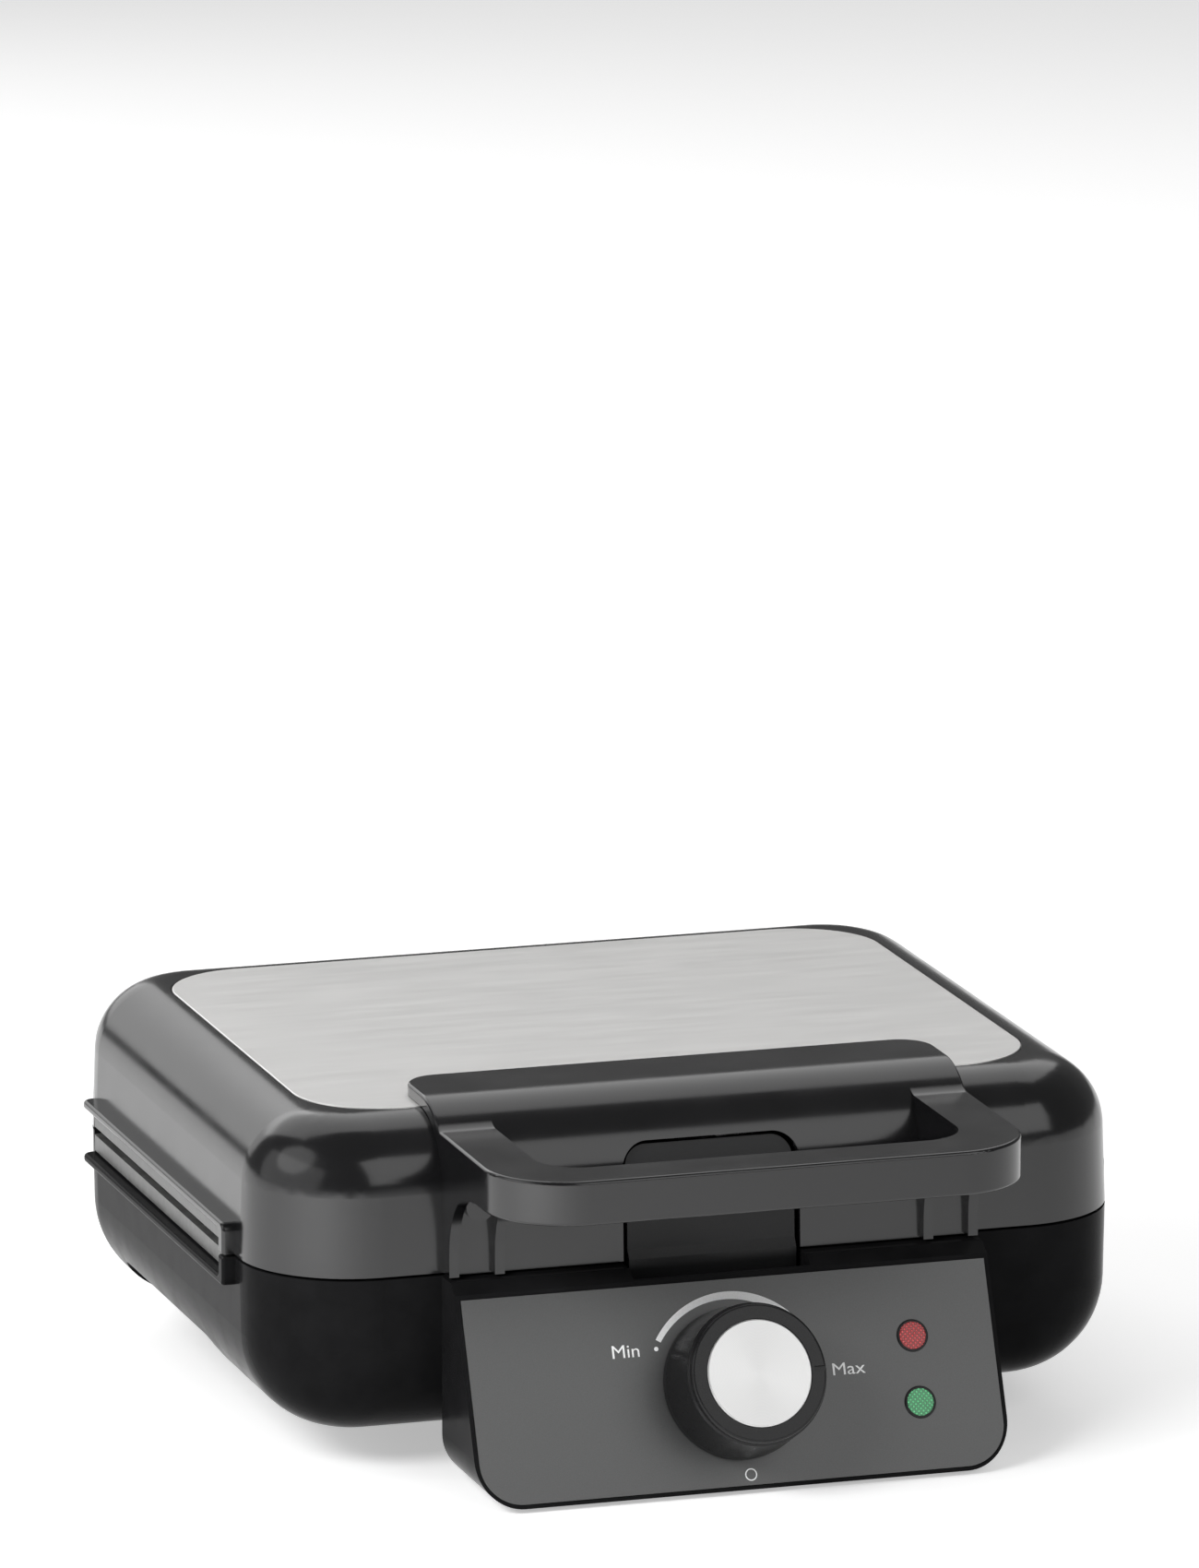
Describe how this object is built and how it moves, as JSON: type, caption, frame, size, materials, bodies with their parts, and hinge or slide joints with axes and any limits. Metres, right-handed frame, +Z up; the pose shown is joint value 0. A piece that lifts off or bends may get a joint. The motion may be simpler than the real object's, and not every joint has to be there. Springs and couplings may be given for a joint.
{
  "type": "waffle maker",
  "caption": "Table waffle maker with a hinged lid, steel top panel, looped front handle with latch, facing peg-grid plates, sloping control panel with heat dial and lamps.",
  "frame": {"origin": "centre of the bounding box at the table, under the feet", "axes": "+X to the right seen from the front, +Y to the hinge at the back, +Z up"},
  "size_m": [0.2572, 0.2849, 0.105],
  "materials": {
    "gloss_black_plastic": "high gloss",
    "black_plastic": "gloss",
    "dark_plastic": "satin",
    "knob_plastic": "satin",
    "brushed_steel": "fine cross brushing",
    "plain_steel": "bright",
    "spring_steel": "tempered",
    "element_steel": "oxidised tube",
    "cast_plate": "non-stick coat on a casting",
    "reflector_aluminium": "bright sheet",
    "grey_panel": "satin metallic grey",
    "spun_aluminium": "spun",
    "thermostat_case": "moulded",
    "red_lens": "textured lens",
    "green_lens": "textured lens",
    "bulb_glass": "clear",
    "foot_rubber": "matte",
    "gland_rubber": "matte",
    "terminal_ceramic": "plain",
    "fuse_ceramic": "plain",
    "lead_sleeve": "silicone sleeve"
  },
  "bodies": {
    "base": {"base_shell": "black_plastic", "control_housing": "black_plastic", "face_plate": "grey_panel", "red_lamp_lens": "red_lens", "green_lamp_lens": "green_lens", "lamp_bulbs": "bulb_glass", "thermostat": "thermostat_case", "lower_waffle_plate": "cast_plate", "lower_heating_element": "element_steel", "lower_heat_reflector": "reflector_aluminium", "lower_plate_screws": "plain_steel", "housing_screws": "plain_steel", "foot_front_left": "foot_rubber", "foot_front_right": "foot_rubber", "foot_rear_left": "foot_rubber", "foot_rear_right": "foot_rubber", "cord_gland": "gland_rubber", "terminal_block": "terminal_ceramic", "thermal_fuse": "fuse_ceramic", "thermostat_lead": "lead_sleeve", "hinge_pin_left": "plain_steel", "hinge_pin_right": "plain_steel"},
    "lid": {"lid_shell": "gloss_black_plastic", "steel_top_panel": "brushed_steel", "handle": "gloss_black_plastic", "handle_screws": "plain_steel", "upper_waffle_plate": "cast_plate", "upper_heating_element": "element_steel", "upper_heat_reflector": "reflector_aluminium", "upper_plate_screws": "plain_steel", "latch_pin": "plain_steel", "latch_spring": "spring_steel"},
    "latch_tab": {"latch": "dark_plastic"},
    "dial": {"dial_knob": "knob_plastic", "dial_cap": "spun_aluminium", "thermostat_spindle": "plain_steel"}
  },
  "joints": [
    {"name": "lid_hinge", "type": "hinge", "parent": "base", "child": "lid", "pos_m": [0, 0.13695, 0.0594], "axis": [-1, 0, 0], "range_deg": [0, 100]},
    {"name": "latch_pivot", "type": "hinge", "parent": "lid", "child": "latch_tab", "pos_m": [0, -0.07655, 0.076], "axis": [-1, 0, 0], "range_deg": [0, 10], "stiffness_Nm_per_rad": 0.3, "springref_deg": -8.59, "deforming": ["latch_spring"]},
    {"name": "dial_turn", "type": "hinge", "parent": "base", "child": "dial", "pos_m": [0, -0.10675, 0.02851], "axis": [0, -0.9239, 0.3827], "range_deg": [0, 270]}
  ]
}
